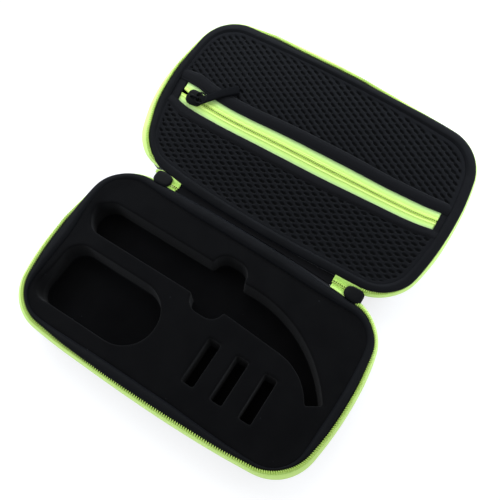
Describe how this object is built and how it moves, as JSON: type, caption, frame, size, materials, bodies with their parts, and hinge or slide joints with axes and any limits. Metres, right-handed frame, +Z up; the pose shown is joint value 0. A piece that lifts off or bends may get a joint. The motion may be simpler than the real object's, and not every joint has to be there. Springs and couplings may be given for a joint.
{
  "type": "electric shaver hard case",
  "caption": "Hard two-half zip case for an electric shaver, with a moulded tray of pockets in the base and a zipped mesh pocket in the lid.",
  "frame": {"origin": "middle of the base's flat underside", "axes": "+X runs along the hinge, +Y points from the base to the hinge and the open lid, +Z is up"},
  "size_m": [0.225, 0.2616, 0.0625],
  "materials": {
    "shell_cloth": "matte",
    "lining_knit": "matte",
    "rim_cloth": "matte",
    "hinge_cloth": "matte",
    "tray_flock": "matte",
    "air_mesh": "matte",
    "binding_cloth": "matte",
    "zip_tape": "matte",
    "pocket_zip_tape": "matte",
    "zip_coil": "satin",
    "slider_metal": "satin",
    "puller_strap": "matte"
  },
  "bodies": {
    "base": {"base_shell": "shell_cloth", "base_lining": "lining_knit", "base_rim": "rim_cloth", "base_zip_tape": "zip_tape", "base_zip_coil": "zip_coil", "tray_insert": "tray_flock", "hinge_cloth_inner": "hinge_cloth", "hinge_cloth_outer": "hinge_cloth", "zip_end_tape_left": "zip_tape", "zip_end_tape_right": "zip_tape"},
    "lid": {"lid_shell": "shell_cloth", "lid_lining": "lining_knit", "lid_rim": "rim_cloth", "lid_zip_tape": "zip_tape", "lid_zip_coil": "zip_coil", "mesh_panel_hinge_side": "air_mesh", "mesh_panel_front_side": "air_mesh", "pocket_binding_hinge_side": "binding_cloth", "pocket_binding_front_side": "binding_cloth", "pocket_tape_hinge_side": "pocket_zip_tape", "pocket_tape_front_side": "pocket_zip_tape", "pocket_coil_hinge_side": "zip_coil", "pocket_coil_front_side": "zip_coil", "pocket_end_tab_left": "binding_cloth", "pocket_end_tab_right": "binding_cloth"},
    "zip_end_left": {"zip_end_coil_left": "zip_coil"},
    "zip_end_right": {"zip_end_coil_right": "zip_coil"},
    "pocket_slider": {"pocket_slider": "slider_metal"},
    "pocket_ring": {"pocket_ring": "slider_metal"},
    "pocket_puller": {"pocket_puller": "puller_strap"},
    "main_slider_left": {"main_slider_left": "slider_metal"},
    "main_slider_right": {"main_slider_right": "slider_metal"},
    "main_puller_left": {"main_puller_left": "slider_metal"},
    "main_puller_right": {"main_puller_right": "slider_metal"}
  },
  "joints": [
    {"name": "lid_hinge", "type": "hinge", "parent": "base", "child": "lid", "pos_m": [0, 0.0647, 0.0314], "axis": [-1, 0, 0], "range_deg": [-166, 8], "deforming": ["hinge_cloth_inner", "hinge_cloth_outer", "zip_end_tape_left", "zip_end_tape_right"]},
    {"name": "pocket_slider_slide", "type": "slide", "parent": "lid", "child": "pocket_slider", "axis": [0.9994, 0.0339, 0.0084], "range_m": [0, 0.152], "deforming": ["pocket_coil_hinge_side", "pocket_coil_front_side"]},
    {"name": "pocket_ring_flip", "type": "hinge", "parent": "pocket_slider", "child": "pocket_ring", "pos_m": [-0.08542, 0.1254, 0.04638], "axis": [0.0349, -0.9697, -0.2418], "range_deg": [0, 150]},
    {"name": "pocket_puller_swing", "type": "hinge", "parent": "pocket_ring", "child": "pocket_puller", "pos_m": [-0.08143, 0.12553, 0.04641], "axis": [0, 0.2419, -0.9703], "range_deg": [-12, 104]},
    {"name": "zip_end_left_turn", "type": "hinge", "parent": "base", "child": "zip_end_left", "pos_m": [-0.0676, 0.0647, 0.0314], "axis": [-1, 0, 0], "range_deg": [-83, 4]},
    {"name": "zip_end_right_turn", "type": "hinge", "parent": "base", "child": "zip_end_right", "pos_m": [0.0676, 0.0647, 0.0314], "axis": [-1, 0, 0], "range_deg": [-83, 4]},
    {"name": "main_slider_left_slide", "type": "slide", "parent": "zip_end_left", "child": "main_slider_left", "axis": [-1, 0, 0], "range_m": [-0.002, 0.006]},
    {"name": "main_slider_right_slide", "type": "slide", "parent": "zip_end_right", "child": "main_slider_right", "axis": [1, 0, 0], "range_m": [-0.006, 0.002], "deforming": ["zip_end_coil_right"]},
    {"name": "main_puller_left_flip", "type": "hinge", "parent": "main_slider_left", "child": "main_puller_left", "pos_m": [-0.07397, 0.0647, 0.02615], "axis": [0, 1, 0], "range_deg": [-40, 60]},
    {"name": "main_puller_right_flip", "type": "hinge", "parent": "main_slider_right", "child": "main_puller_right", "pos_m": [0.07848, 0.0647, 0.02615], "axis": [0, -1, 0], "range_deg": [-40, 60]}
  ],
  "couplings": [
    {"joint": "zip_end_left_turn", "follows": "lid_hinge", "ratio": 0.5},
    {"joint": "zip_end_right_turn", "follows": "lid_hinge", "ratio": 0.5}
  ]
}
